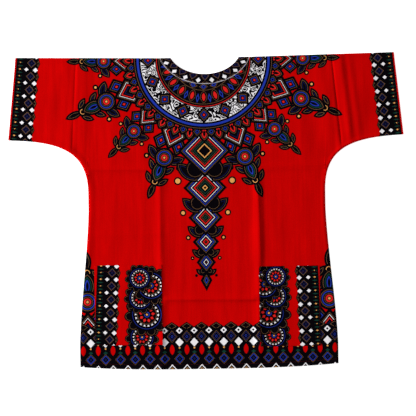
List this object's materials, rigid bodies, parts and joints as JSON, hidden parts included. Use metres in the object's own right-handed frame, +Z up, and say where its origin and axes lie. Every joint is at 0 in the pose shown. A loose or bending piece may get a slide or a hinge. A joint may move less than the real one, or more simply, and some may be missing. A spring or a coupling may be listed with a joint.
{
  "type": "dashiki shirt",
  "caption": "Short-sleeved dashiki shirt of red printed cotton laid flat, with a round banded neck, patch pockets, and printed borders at the hem and cuffs.",
  "frame": {"origin": "middle of the shirt's outline, on the surface that it lies on", "axes": "+X from sleeve to sleeve, to the right as the front is seen, +Y from the hem to the shoulders, +Z up from the surface, out of the front"},
  "size_m": [1.0072, 0.8, 0.0078],
  "materials": {
    "printed_cotton": "matt red plain-weave cotton with printed yoke, rays and borders",
    "border_cotton": "matt cotton printed in navy, blue and white",
    "pocket_cotton": "matt red cotton with printed borders and motifs"
  },
  "bodies": {
    "root": {"front_panel": "printed_cotton", "back_panel": "printed_cotton", "neckband_front": "border_cotton", "neckband_back": "border_cotton", "pocket_left": "pocket_cotton", "pocket_right": "pocket_cotton"}
  },
  "joints": []
}
